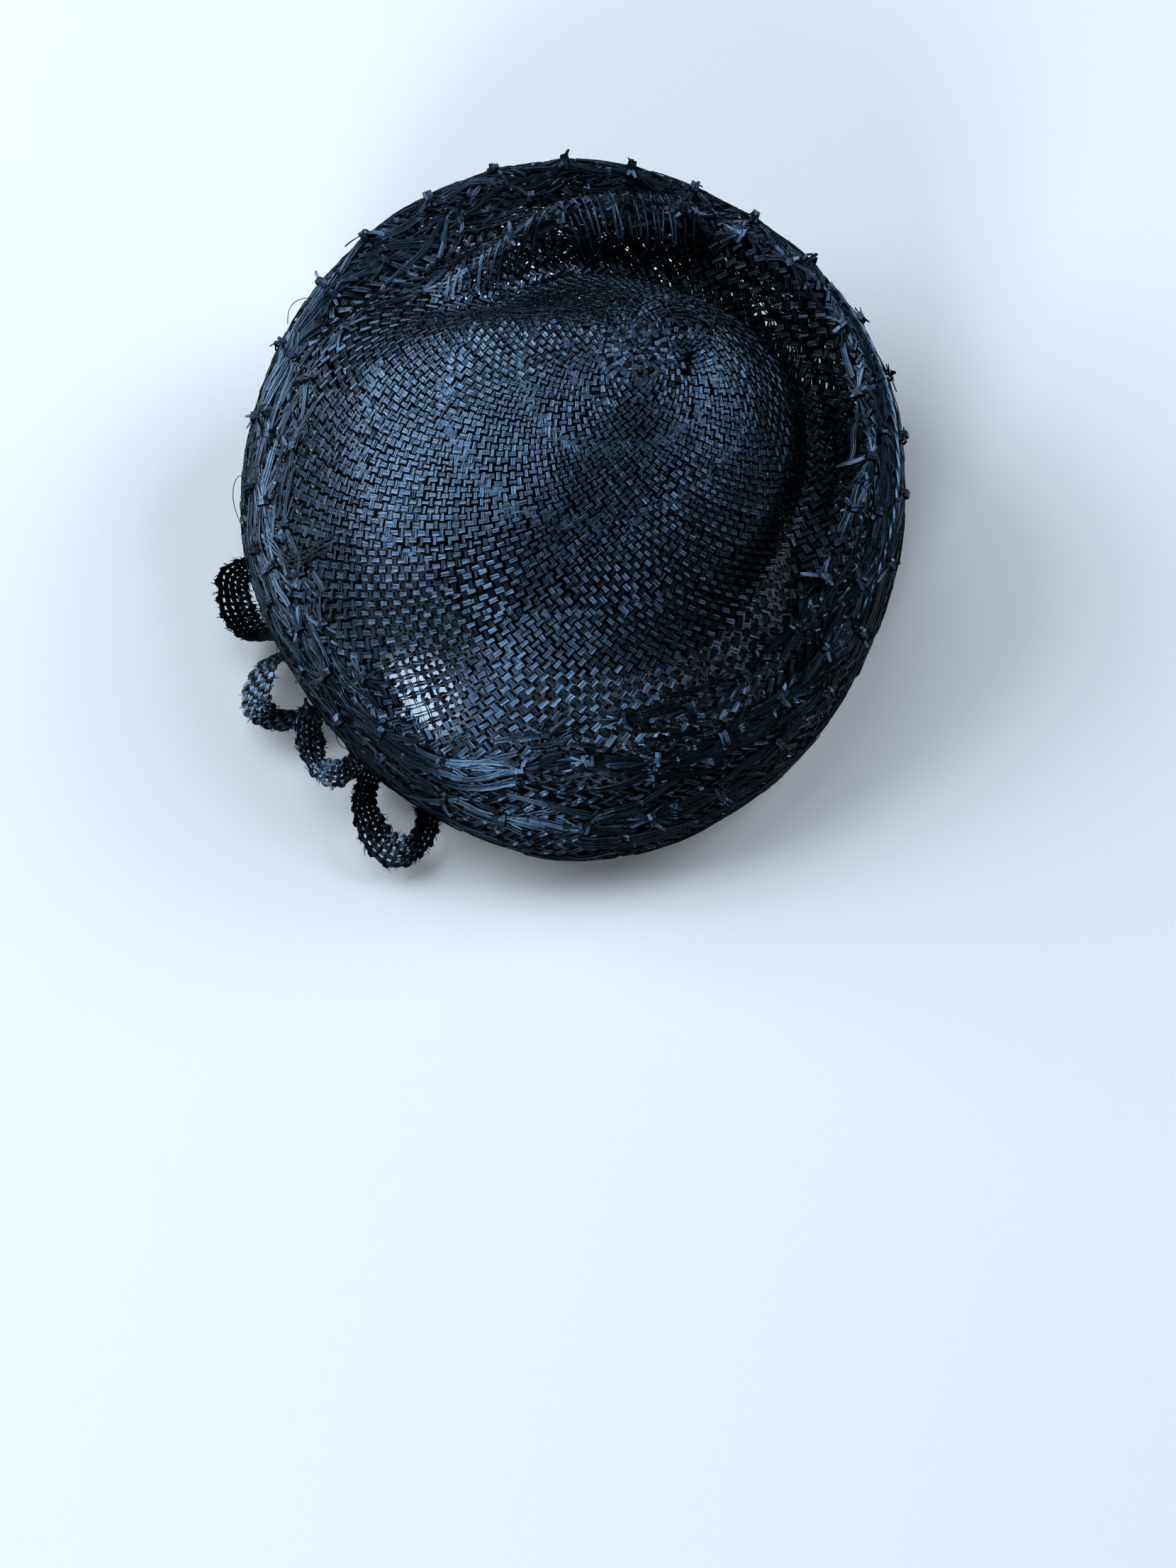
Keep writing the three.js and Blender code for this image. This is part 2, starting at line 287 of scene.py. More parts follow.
# %% Turn of the strands
BAND_FLATNESS = 2.85         # how many times faster the strands turn on the outer band
STRAND_DEPTH = 0.85          # middle of the plait below the CAD's outer face, mm
SMOOTHED = 8                 # columns to each side that the turn is evened out over
OUTER_ZONE = 3               # row near which the strands that reach the seam begin


def turn_rate():
    radius = np.maximum(np.linalg.norm(along_turn, axis=2), 1.0)
    length = np.linalg.norm(np.diff(surface, axis=0), axis=2)
    rate = length / ((radius[1:] + radius[:-1]) / 2)
    middle = (rows[1:] + rows[:-1]) / 2
    flat = 1 + (BAND_FLATNESS - 1) * np.clip((middle - SEAM) * 4, 0, 1) * np.clip((8.4 - middle) * 3, 0, 1)
    rate = rate * flat[:, None]
    return sum(np.roll(rate, shift, 1) for shift in range(-SMOOTHED, SMOOTHED + 1)) / (2 * SMOOTHED + 1)


turn = np.concatenate([np.zeros((1, AROUND)), np.cumsum(turn_rate(), axis=0)])
seam_turn = turn[SEAM * PER_SPAN] - turn[OUTER_ZONE * PER_SPAN]
print("a strand turns %.0f to %.0f degrees on its way to the seam"
      % (np.degrees(seam_turn.min()), np.degrees(seam_turn.max())))

# %% [markdown]
# A strand is planned flat, as azimuth and row position, and then laid on the hat. One helper reads any
# grid between its corners: the surface, the way outward or the turn. The next says how many millimetres a
# radian and a row are there. The last one goes the opposite way and finds the row where a strand has turned
# as far as wanted, by halving the span again and again.

# %% Places on the surface
HALVINGS = 22


def grid_value(grid, azimuth, position):
    column = (azimuth % 360) / (360 / AROUND)
    row = np.clip(position * PER_SPAN, 0, len(rows) - 1.001)
    c0 = np.floor(column).astype(int)
    r0 = np.floor(row).astype(int)
    u, v = column - c0, row - r0
    c0, c1 = c0 % AROUND, (c0 + 1) % AROUND
    if grid.ndim == 3:
        u, v = u[..., None], v[..., None]
    low = grid[r0, c0] * (1 - u) + grid[r0, c1] * u
    high = grid[r0 + 1, c0] * (1 - u) + grid[r0 + 1, c1] * u
    return low * (1 - v) + high * v


def scale_at(azimuth, position):
    """Millimetres of one radian round the hat, and of one row down its side."""
    ring = np.linalg.norm(grid_value(along_turn, azimuth, position), axis=1)
    return ring, np.linalg.norm(grid_value(along_rows, azimuth, position), axis=1) * PER_SPAN


def row_of_turn(azimuth, wanted, first, last):
    """The row position, between first and last, where the turn counted from first is as wanted."""
    low = np.full_like(azimuth, first)
    high = np.full_like(azimuth, last)
    start = grid_value(turn, azimuth, low)
    for _ in range(HALVINGS):
        middle = (low + high) / 2
        under = grid_value(turn, azimuth, middle) - start < wanted
        low, high = np.where(under, middle, low), np.where(under, high, middle)
    return (low + high) / 2


fold_back = grid_value(surface, np.array([90.0]), np.array([5.0]))[0]
print("the fold's top at the back is", np.round(fold_back, 1), "mm from the hat's own middle")

# %% [markdown]
# A straw is a flat strip, wide and thin. Thousands of them make the hat, so each has only a few faces: three
# corners across, two of them on the flat top that catches the light, or four for the straws of the ribbons,
# which are seen from both sides. The strips of one family are closed at their ends and joined into a single
# mesh from arrays. The UV map runs along the straw in millimetres, for the fibres of the material, and an
# attribute says how much sheen each place of the straw has. It holds each straw's own tone, which differs
# at random, and painted shade where a straw dips under the plait or lies in the far valley.

# %% Strand meshes
STRAW_THICKNESS = 0.3        # mm
TOP_SHARE = 0.9              # width of the top of a four-cornered straw, as a part of its width
UV_STEP, UV_PARTS = 7.3, 97  # mm from one straw's part of the streaks to the next one's, and parts in all


class Strands:
    """Collects flat straws and joins them into one mesh of closed strips."""

    def __init__(self, corners=4):
        self.sides = corners
        self.corners, self.faces, self.uvs, self.tones_and_shades = [], [], [], []
        self.count = 0
        self.number = 0

    def add(self, middle, up, width, thickness, tone_and_shade=None):
        middle, up = np.asarray(middle, float), np.asarray(up, float)
        count = len(middle)
        width = np.broadcast_to(np.asarray(width, float), (count,))
        thickness = np.broadcast_to(np.asarray(thickness, float), (count,))
        along = np.gradient(middle, axis=0)
        along /= np.linalg.norm(along, axis=1)[:, None] + 1e-9
        side = np.cross(along, up)
        side /= np.linalg.norm(side, axis=1)[:, None] + 1e-9
        over = np.cross(side, along)
        half_w, half_t = side * width[:, None] / 2, over * thickness[:, None] / 2
        if self.sides == 3:
            ring = np.stack([middle - half_w + half_t, middle + half_w + half_t, middle - half_t], 1)
        else:
            ring = np.stack([middle - half_w - half_t, middle - half_w * TOP_SHARE + half_t,
                             middle + half_w * TOP_SHARE + half_t, middle + half_w - half_t], 1)
        index = self.count + np.arange(count * self.sides).reshape(count, self.sides)
        after = np.roll(index, -1, 1)
        walls = np.stack([index[:-1], after[:-1], after[1:], index[1:]], 2).reshape(-1, 4)
        ends = [index[0][::-1].tolist(), index[-1].tolist()]
        run = np.concatenate([[0], np.cumsum(np.linalg.norm(np.diff(middle, axis=0), axis=1))])
        wide = float(np.mean(width))
        three, four = (wide, wide / 2, wide / 2), (STRAW_THICKNESS, wide, STRAW_THICKNESS, wide)
        across = np.cumsum((UV_STEP * (self.number % UV_PARTS), *(three if self.sides == 3 else four)))
        a, b = np.meshgrid(run[:-1], across[:-1], indexing="ij")
        c, d = np.meshgrid(run[1:], across[1:], indexing="ij")
        wall_uv = np.stack([b, a, d, a, d, c, b, c], 2).reshape(-1, 8)
        end_uv = np.tile([across[0], run[0]], 2 * self.sides)
        self.corners.append(ring.reshape(-1, 3))
        self.faces += walls.tolist() + ends
        self.uvs += [wall_uv.ravel(), end_uv]
        tone_and_shade = np.broadcast_to(chance.random() if tone_and_shade is None else tone_and_shade, (count,))
        self.tones_and_shades.append(np.repeat(tone_and_shade, self.sides))
        self.count += count * self.sides
        self.number += 1

    def piece(self, name, material):
        mesh = bpy.data.meshes.new(name)
        corners = (np.concatenate(self.corners) + HAT_SHIFT) * MM
        mesh.from_pydata(corners.tolist(), [], self.faces)
        layer = mesh.uv_layers.new(name="straw")
        layer.data.foreach_set("uv", np.concatenate(self.uvs).astype(np.float32))
        tone_and_shade = mesh.attributes.new("tone_and_shade", "FLOAT", "POINT")
        tone_and_shade.data.foreach_set("value", np.concatenate(self.tones_and_shades).astype(np.float32))
        mesh.polygons.foreach_set("use_smooth", np.zeros(len(mesh.polygons), bool))
        mesh.materials.append(material)
        piece = bpy.data.objects.new(name, mesh)
        bpy.context.scene.collection.objects.link(piece)
        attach(piece, "root")
        mesh.calc_loop_triangles()
        print(name, self.number, "straws,", len(mesh.loop_triangles), "triangles")
        return piece


print("straws are", STRAW_THICKNESS, "mm thick and have", Strands(corners=3).sides, "or", Strands().sides,
      "corners across")

# %% [markdown]
# Each straw is a bundle of straight plant fibres dyed black, and what is seen of it is mostly the light that
# its top reflects, stretched across the fibres as on brushed metal. So the base colour is nearly black, the
# reflection is anisotropic along the UV map, and its tint does the work. The tint and the base colour follow
# the tone: dark where a straw dips under or lies in the far valley, which is painted shade, and bright on
# its flat top. A noise stretched along the straw breaks them into threads. The same noise drives gloss and
# bump.

# %% Straw material
DEEP_BLACK = (0.0001, 0.0001, 0.0002)
# Painted shade: where the tone is low, where a straw dips under the plait or lies in the far valley, the
# reflection tint and the base colour are made dark. The dull end of the ramps is this painted shade.
PAINTED_SHADE_TINT = (0.012, 0.022, 0.035)        # reflection of straw deep in the plait
SHEEN_TINT = (0.42, 0.68, 1.0)           # reflection of straw on top of it
RAMP_FROM, RAMP_TO = 0.3, 0.95           # blends at which the dull and the bright ends are reached
STREAK_GAIN, STREAK_SHIFT = 1.3, -0.4    # contrast of the fibres
TONE_AND_SHADE_SHARE = 0.65                        # part of the tone in the blend


def straw_finish(name, dark, light, gloss, streaks_per_mm):
    material = bpy.data.materials.new(name)
    material.use_nodes = True
    nodes, links = material.node_tree.nodes, material.node_tree.links
    shader = nodes["Principled BSDF"]
    shader.inputs["Specular IOR Level"].default_value = 1.0
    shader.inputs["IOR"].default_value = 1.5
    shader.inputs["Anisotropic"].default_value = 0.72
    grain = nodes.new("ShaderNodeTangent")
    grain.direction_type = "UV_MAP"
    grain.uv_map = "straw"
    links.new(grain.outputs["Tangent"], shader.inputs["Tangent"])
    uv = nodes.new("ShaderNodeUVMap")
    uv.uv_map = "straw"
    stretch = nodes.new("ShaderNodeMapping")
    stretch.inputs["Scale"].default_value = (streaks_per_mm, 0.09, 1)
    fibres = nodes.new("ShaderNodeTexNoise")
    fibres.inputs["Scale"].default_value = 1.0
    fibres.inputs["Detail"].default_value = 3.0
    fibres.inputs["Roughness"].default_value = 0.6
    links.new(uv.outputs["UV"], stretch.inputs["Vector"])
    links.new(stretch.outputs["Vector"], fibres.inputs["Vector"])
    tone_and_shade = nodes.new("ShaderNodeAttribute")
    tone_and_shade.attribute_name = "tone_and_shade"
    streaks = nodes.new("ShaderNodeMath")
    streaks.operation = "MULTIPLY_ADD"
    streaks.inputs[1].default_value = STREAK_GAIN
    streaks.inputs[2].default_value = STREAK_SHIFT
    links.new(fibres.outputs["Fac"], streaks.inputs[0])
    blend = nodes.new("ShaderNodeMath")
    blend.operation = "MULTIPLY_ADD"
    blend.inputs[1].default_value = TONE_AND_SHADE_SHARE
    links.new(tone_and_shade.outputs["Fac"], blend.inputs[0])
    links.new(streaks.outputs["Value"], blend.inputs[2])
    for socket, low, high in (("Base Color", dark, light), ("Specular Tint", PAINTED_SHADE_TINT, SHEEN_TINT)):
        colour = nodes.new("ShaderNodeValToRGB")
        colour.color_ramp.elements[0].position = RAMP_FROM
        colour.color_ramp.elements[0].color = (*low, 1)
        colour.color_ramp.elements[1].position = RAMP_TO
        colour.color_ramp.elements[1].color = (*high, 1)
        links.new(blend.outputs["Value"], colour.inputs["Fac"])
        links.new(colour.outputs["Color"], shader.inputs[socket])
    rough = nodes.new("ShaderNodeMapRange")
    rough.inputs["From Min"].default_value = RAMP_FROM
    rough.inputs["From Max"].default_value = RAMP_TO
    rough.inputs["To Min"].default_value = gloss[1]
    rough.inputs["To Max"].default_value = gloss[0]
    links.new(blend.outputs["Value"], rough.inputs["Value"])
    links.new(rough.outputs["Result"], shader.inputs["Roughness"])
    bump = nodes.new("ShaderNodeBump")
    bump.inputs["Strength"].default_value = 0.75
    bump.inputs["Distance"].default_value = 0.0003
    links.new(fibres.outputs["Fac"], bump.inputs["Height"])
    links.new(bump.outputs["Normal"], shader.inputs["Normal"])
    return material


crown_straw = straw_finish("crown_straw", DEEP_BLACK, (0.0012, 0.0018, 0.003), (0.45, 0.34), 2.2)
band_straw = straw_finish("band_straw", DEEP_BLACK, (0.0012, 0.0018, 0.003), (0.45, 0.34), 2.2)
ribbon_straw = straw_finish("ribbon_straw", DEEP_BLACK, (0.0015, 0.0022, 0.0036), (0.4, 0.3), 2.2)
print("straw finishes:", crown_straw.name, band_straw.name, ribbon_straw.name)

# %% [markdown]
# At the back on one side the straw has been pulled into a ladder: the strands there are thin, bare and far
# apart, and light comes through. There are smaller bare places around it and beside the fold. Each is a
# soft-edged oval on the hat: inside it a strand gets thinner and stops going over and under.

# %% Bare places
# azimuth, row position, half length and half width (mm), and strength of each bare place
LADDERS = ((57.5, 4.72, 7.5, 4, 1.0), (48.5, 4.2, 3, 4.5, 0.6), (55, 4.45, 6, 3, 0.6), (66, 5.0, 8, 4, 0.55),
           (281, 5.2, 6, 4, 0.7), (220, 4.3, 5, 4, 0.7), (209, 4.1, 5, 4, 0.6))


def worn(azimuth, position):
    """From 0 in sound plait to 1 in a bare place."""
    bare = np.zeros(len(azimuth))
    ring, speed = scale_at(azimuth, position)
    for centre, row, half_length, half_width, strength in LADDERS:
        across = np.radians((azimuth - centre + 180) % 360 - 180) * ring / half_length
        down = (position - row) * speed / half_width
        bare = np.maximum(bare, strength * np.exp(-across**4 - down**4))
    return bare


print(len(LADDERS), "bare places; in the middle of the ladder the plait is bare to",
      worn(np.array([57.5]), np.array([4.72]))[0])

# %% [markdown]
# Straws are short, so the maker joins them all the time: a few are gathered into a bundle, tied with a
# turn of straw, and fan out again. The knots sit in rows round the hat, about 24 mm apart: one on the
# fold, one on the outer band and one along its edge. Near a knot every strand is drawn towards it.

# %% Knots that gather the strands
KNOT_ROWS = {   # row position at the back and in front, knots round the hat, azimuth of the first one
    "fold": (4.85, 4.85, 27, 5.8),
    "band": (6.42, 6.42, 27, 12.5),
    "edge": (7.42, 6.98, 30, 7.0),
}
GATHER = 0.7                 # how much of its distance to a knot a strand loses beside it
REACH_ROUND, REACH_DOWN = 10.0, 7.0      # reach of a knot round the hat and down its side, mm
CLEAR_ROUND, CLEAR_DOWN = 9, 0.5         # degrees and rows around a bare place that have no knot


def place_knots():
    knots = []
    for name, (back, front, count, first) in KNOT_ROWS.items():
        for number in range(count):
            azimuth = first + 360 / count * number + chance.normal(0, 1.0)
            in_front = (1 - math.sin(math.radians(azimuth))) / 2
            position = back + (front - back) * in_front + chance.normal(0, 0.05)
            in_ladder = any(abs((azimuth - place[0] + 180) % 360 - 180) / CLEAR_ROUND
                            + abs(position - place[1]) / CLEAR_DOWN < 1 for place in LADDERS)
            if not in_ladder:
                knots.append((azimuth % 360, position, name))
    return knots


knots = place_knots()
knot_azimuth = np.array([knot[0] for knot in knots])
knot_position = np.array([knot[1] for knot in knots])
knot_ring, knot_speed = scale_at(knot_azimuth, knot_position)


def gathered(azimuth, position):
    """The row position with the strands drawn to the knots, and how near the nearest knot is."""
    turned = (azimuth[:, None] - knot_azimuth + 180) % 360 - 180
    across = np.radians(turned) * knot_ring
    down = (position[:, None] - knot_position) * knot_speed
    near = np.exp(-(across / REACH_ROUND)**2 - (down / REACH_DOWN)**2)
    moved = (-GATHER * near * (position[:, None] - knot_position)).sum(axis=1)
    return position + moved, near.max(axis=1)


print(len(knots), "knots in", len(KNOT_ROWS), "rows")

# %% [markdown]
# No straw is quite straight, so chance steps that are smoothed over a few crossings make it wander a little.
# The deep valley on the far side is nearly black on the real hat, and the studio's light reaches into it,
# so shade is painted there: the tone of the straw is lowered by its place on the hat.

# %% Chance and painted shade in the valley
def wander(count, size, run):
    """Smooth chance steps, for straw that is never quite straight."""
    steps = chance.normal(0, 1, count + run)
    return size * np.convolve(steps, np.ones(run) / math.sqrt(run), "same")[:count]


def painted_valley_shade(azimuth, position):
    """Up to 1 in the deep valley on the far side, where shade is painted by lowering the straw's tone."""
    around = np.clip((70 - np.abs((azimuth - 200 + 180) % 360 - 180)) / 30 + 0.5, 0, 1)
    return around * np.clip((position - 3.0) * 2, 0, 1) * np.clip((5.0 - position) * 4, 0, 1)


# The value printed is the painted shade in the middle of the valley.
print("in the far valley the straw is dull to", painted_valley_shade(np.array([200.0]), np.array([4.5]))[0])

# %% [markdown]
# A plait looks like small bricks, because a straw lies flat on top of its crossing for half a step to each
# side and then dives steeply under the next one. So each crossing gets two places, far apart where the
# straw is over and close together where it is under. Rounded straws in a gentle wave look like knitting.

# %% Crossings of a strand
OVER_PAD, UNDER_PAD = 0.5, 0.22      # parts of a step, each side of a crossing, where a strand lies flat
LIFT = 0.6                   # how far a strand rises and dips at its crossings, mm
RAGGED = 2.0                 # crossings over which the strands of a zone begin and end
FIBRES = 2                   # straws side by side in a strand


def crossing_places(most, hand):
    """Places along a strand, counted in crossings, and +1 or -1 where it lies over or under."""
    crossings = np.arange(most)
    over = np.where(crossings % 2 == 0, 1.0, -1.0) * hand
    flat = np.where(over > 0, OVER_PAD, UNDER_PAD)
    places = np.stack([crossings - flat, crossings + flat], 1).ravel()[1:]
    return places, np.repeat(over, 2)[1:]


def on_hat(azimuth, position, count):
    """Places of a strand on the hat, its way up and its direction there, and its room beside the next."""
    place = grid_value(surface, azimuth, position)
    up = grid_value(outward, azimuth, position)
    up /= np.linalg.norm(up, axis=1)[:, None]
    ring, _ = scale_at(azimuth, position)
    path = np.gradient(place, axis=0)
    path /= np.linalg.norm(path, axis=1)[:, None] + 1e-9
    round_hat = grid_value(along_turn, azimuth, position) / (ring[:, None] + 1e-9)
    spacing = 2 * math.pi / count * np.linalg.norm(np.cross(round_hat, path), axis=1) * ring
    return place, up, path, spacing


print("a strand's first places, in crossings:", crossing_places(3, 1)[0].tolist())

# %% [markdown]
# Now one family of strands can be laid. Each starts at its own azimuth, runs until its zone ends, is drawn
# to the knots on its way, and gets thin in a bare place. On the outer band the plait changes from over one
# and under one to over two and under two. A strand is two straws side by side, each tilted its own way, so
# that neighbours catch the light differently. They join the crown's mesh above the seam and the band's
# below it.

# %% One family of strands
def lay_fibres(parts, place, up, side, position, height, width, offsets, tilts, tones_and_shades, bare):
    """Lays the straws of one strand, split at the seam into the crown's part and the band's."""
    seam = int(np.searchsorted(position, SEAM))
    laid = place + up * height[:, None] + side * offsets[:, None]
    for part, cut in ((parts[0], slice(0, seam + 1)), (parts[1], slice(seam, None))):
        if len(height[cut]) > 2:
            part.add(laid[cut], (up + side * tilts[:, None])[cut], width[cut] / FIBRES * 0.9,
                     STRAW_THICKNESS * (1 - 0.5 * bare[cut]), tones_and_shades[cut])


def plait(parts, count, first, last, hand, fill):
    """Lays one family: hand is +1 or -1, the way that it turns round the hat. parts holds the strands
    above the seam and below it."""
    step = math.pi / count
    start_turn = grid_value(turn, azimuths, np.full(AROUND, first))
    whole = grid_value(turn, azimuths, np.full(AROUND, last)) - start_turn
    most = int(whole.max() / step) + 2
    samples, over = crossing_places(most, hand)
    for number in range(count):
        begin = 360 / count * (number + chance.normal(0, 0.07))
        azimuth = begin + hand * np.degrees(samples * step)
        room = np.interp(azimuth % 360, np.append(azimuths, 360), np.append(whole, whole[0]))
        keep = (samples * step < room + step * chance.uniform(-RAGGED, 0.3) * (last < 9)) & (
            samples > chance.uniform(-0.5, RAGGED))
        if keep.sum() < 5:
            continue
        az, k, lifted = azimuth[keep], samples[keep], over[keep]
        position = row_of_turn(az, k * step, first, min(last + 0.2, 10.0))
        az = az + wander(len(az), 0.045 * 360 / count, 6)
        on_band = np.where(np.round(k) % 4 < 2, 1.0, -1.0) * hand
        lifted = np.where(position > SEAM, on_band, lifted)
        position, near = gathered(az, position)
        position = np.clip(position, 0, 9.99)
        bare = worn(az, position)
        place, up, path, spacing = on_hat(az, position, count)
        width = np.clip(fill * spacing, 0.7, 3.6) * (1 + chance.normal(0, 0.10))
        width *= (1 + chance.normal(0, 0.09, len(width))) * (1 - 0.35 * near)
        width *= (1 - (0.92 if hand > 0 else 0.62) * bare) * np.where(lifted > 0, 0.84, 1.25)
        height = lifted * LIFT * (1 - 0.6 * near) * (1 - bare) - STRAND_DEPTH
        height += near * chance.uniform(-0.2, 0.7) + chance.normal(0, 0.05, len(height))
        side = np.cross(path, up)
        pads = chance.normal(0, 0.13, most + 1)
        pads = pads[np.minimum(np.round(k).astype(int), most)]
        for fibre in range(FIBRES):
            off = (fibre - (FIBRES - 1) / 2) / FIBRES * (width * (1 - bare) + spacing * fill * bare)
            tilt = pads + chance.normal(0, 0.12) + chance.normal(0, 0.08, len(height)) - 0.25 * off
            # Painted shade: a straw's tone is raised where it lies over a crossing and left low where it
            # dips under, and lowered in the far valley. The chance parts of the tone are the straw's own.
            tones_and_shades = chance.random() * 0.2 + 0.15 * chance.random(len(height)) + 0.65 * (lifted > 0)
            tones_and_shades *= 1 - 0.75 * painted_valley_shade(az, position)
            tones_and_shades *= np.where(position > SEAM, chance.uniform(0.5, 1.05), 1.0)
            fibre_height = height + chance.normal(0, 0.08)
            lay_fibres(parts, place, up, side, position, fibre_height, width, off, tilt, tones_and_shades, bare)


print("strands of", FIBRES, "straws, lifted", LIFT, "mm over a crossing")

# %% [markdown]
# The crown's plait starts small and grows: where the straws stand too far apart, the maker adds new ones.
# So the hat is plaited in zones, each with more strands than the one inside it. The ends are ragged, so
# that no zone shows as a ring. The last zone runs on over the seam, down the band and under the hat.

# %% Plaited zones
ZONES = ((34, 0.42, 0.9), (56, 0.74, 1.42), (84, 1.2, 2.15), (112, 1.9, 3.3), (128, 2.95, 9.98))
LEFT_FILL, RIGHT_FILL = 0.66, 0.76        # widths of the two families' straws, as parts of their spacing

crown_left, crown_right, band_left, band_right = (Strands(corners=3) for _ in range(4))
for count, first, last in ZONES:
    plait((crown_left, band_left), count, first, last, 1, LEFT_FILL)
    plait((crown_right, band_right), count, first, last, -1, RIGHT_FILL)
    print("rows", first, "to", last, "have", count, "strands each way")

# %% [markdown]
# At the very top the plait begins as a small wheel: straws laid out like spokes, with others wound round
# them in rings. It is made the same way, with spokes and rings in place of the two slanting families, and
# joins the left family's mesh. Then the crown's two meshes are made, and take the place of the CAD crown.

# %% Wheel at the swirl
WHEEL_ZONES = ((10, 0.02, 0.16), (18, 0.12, 0.34), (30, 0.3, 0.55))    # spokes, from row, to row
WHEEL_RADIUS = 24.0          # mm from the swirl to row 1
WHEEL_LIFT = 0.38            # mm


def lay(strands, azimuth, position, height, width, thickness=STRAW_THICKNESS, tone_and_shade=None):
    """Lays one straw on the hat through places given as azimuth, row position and height."""
    position = np.clip(position, 0, 9.99)
    place = grid_value(surface, azimuth, position)
    up = grid_value(outward, azimuth, position)
    strands.add(place + up * height[:, None], up, width, thickness, tone_and_shade)


def wheel(strands):
    for spokes, first, last in WHEEL_ZONES:
        pitch = 2 * math.pi * WHEEL_RADIUS * (first + last) / 2 / spokes
        rings = max(2, int(round(WHEEL_RADIUS * (last - first) / pitch / 1.15)))
        samples = np.sort(np.concatenate([np.arange(rings) - 0.3, np.arange(rings) + 0.3]))
        for number in range(spokes):
            azimuth = np.full(len(samples), 360 / spokes * (number + chance.normal(0, 0.1)))
            azimuth += wander(len(samples), 0.08 * 360 / spokes, 3)
            position = first + (last - first) * (samples + chance.uniform(0.2, 0.8)) / rings
            over = np.where((np.round(samples) + number) % 2 == 0, 1.0, -1.0)
            width = 0.8 * 2 * math.pi / spokes * WHEEL_RADIUS * np.maximum(position, 0.03)
            lay(strands, azimuth, position, over * WHEEL_LIFT - STRAND_DEPTH, np.maximum(width, 0.5))
        for ring in range(rings):
            steps = np.sort(np.concatenate([np.arange(spokes) - 0.3, np.arange(spokes) + 0.3]))
            steps = np.append(steps, steps[-1] + 0.5)
            azimuth = 360 / spokes * steps
            level = first + (last - first) * (ring + 0.5) / rings
            position = level + wander(len(azimuth), 0.006, 7)
            over = np.where((np.round(steps) + ring) % 2 == 0, -1.0, 1.0)
            width = 0.85 * WHEEL_RADIUS * (last - first) / rings
            lay(strands, azimuth, position, over * WHEEL_LIFT - STRAND_DEPTH, width)


wheel(crown_left)
for strands, name in ((crown_left, "crown_plait_left"), (crown_right, "crown_plait_right")):
    piece = strands.piece(name, crown_straw)
    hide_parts("crown")

# %% [markdown]
# The outer band is the same plait pulled flat, so its strands run almost along the edge. They were laid
# together with the crown's, and now their two meshes take the place of the CAD brim.

# %% Band pieces
for strands, name in ((band_left, "band_plait_left"), (band_right, "band_plait_right")):
    piece = strands.piece(name, band_straw)
    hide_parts("brim")

# %% [markdown]
# Over the plait lie long straws that were left out of it. On the band they run along the edge in loose
# bundles of three. In front they are drawn side by side over the top of the fold, and along the lip, on the
# side away from the ribbons, two straws are twisted round each other. A few fine fibres have sprung loose.
# Each kind is a short function that picks its places by chance. Most ends are tucked under the plait.

# %% Long loose straws
TUCKED = -1.4                # height of an end that is tucked under the plait, mm


def floats(strands, count, first, last, length, steep):
    for _ in range(count):
        azimuth, row = chance.uniform(0, 360), chance.uniform(first, last)
        (ring,), (speed,) = scale_at(np.array([azimuth]), np.array([row]))
        span = chance.uniform(*length)
        run = np.linspace(-span / 2, span / 2, max(6, int(span / 3.5)))
        slope = math.tan(math.radians(chance.normal(0, steep)))
        down = slope * run + wander(len(run), 0.25, 4)
        az = azimuth + np.degrees(run / ring)
        if worn(az, np.full(len(az), row)).max() > 0.3:
            continue
        position, near = gathered(az, row + down / speed)
        height = np.full(len(run), chance.uniform(-0.3, 0.3)) + wander(len(run), 0.15, 3)
        height[0] = height[-1] = TUCKED
        for part in (-1, 0, 1):
            spread = part * np.linspace(chance.uniform(0.5, 1.3), chance.uniform(0.5, 1.3), len(run)) / speed
            lay(strands, az, position + spread, height + chance.normal(0, 0.12), chance.uniform(0.4, 0.95),
                tone_and_shade=chance.uniform(0.25, 0.95))


def over_fold(strands, count, azimuths_between, lean, width, tone_and_shade):
    """Straws drawn side by side over the top of the fold."""
    for azimuth in np.linspace(*azimuths_between, count):
        position = np.linspace(chance.uniform(4.1, 4.4), chance.uniform(5.2, 5.5), 12)
        az = azimuth + lean * (position - 4.8) + wander(12, 0.25, 4) + chance.normal(0, 0.6)
        height = np.full(12, chance.uniform(0.0, 0.45)) + wander(12, 0.1, 3)
        height[0] = height[-1] = TUCKED
        lay(strands, az, position, height, chance.uniform(0.6, 1.3) * width, tone_and_shade=chance.uniform(tone_and_shade, 1))


def edge_cord(strands, azimuths_between, row):
    """Two straws twisted round each other along the edge."""
    az = np.linspace(*azimuths_between, 90)
    for phase in (0, math.pi):
        twist = np.linspace(0, 60, 90) + phase
        lay(strands, az, row + 0.03 * np.cos(twist), 0.7 + 0.35 * np.sin(twist), 0.8, 0.5, 1.0)


def stray_hair(strands, azimuth, row, reach, rise, curl):
    """One fine fibre that has sprung loose; it leaves the surface and bends back."""
    run = np.linspace(0, 1, 12)
    az = azimuth + np.degrees(reach / 110) * (run + curl * np.sin(run * math.pi))
    position = row + 0.25 * curl * np.sin(run * 2 * math.pi)
    lay(strands, az, position, rise * np.sin(run * 2.6) - 0.5, 0.3, 0.22, 0.6)


print("loose straws can be laid in", len((floats, over_fold, edge_cord, stray_hair)), "ways")

# %% [markdown]
# All loose straws go into one mesh. The band gets most of them and the wall under the fold a few, and the
# fold itself has two combed places in front.

# %% Lay the loose straws
STRAY_HAIRS = 14

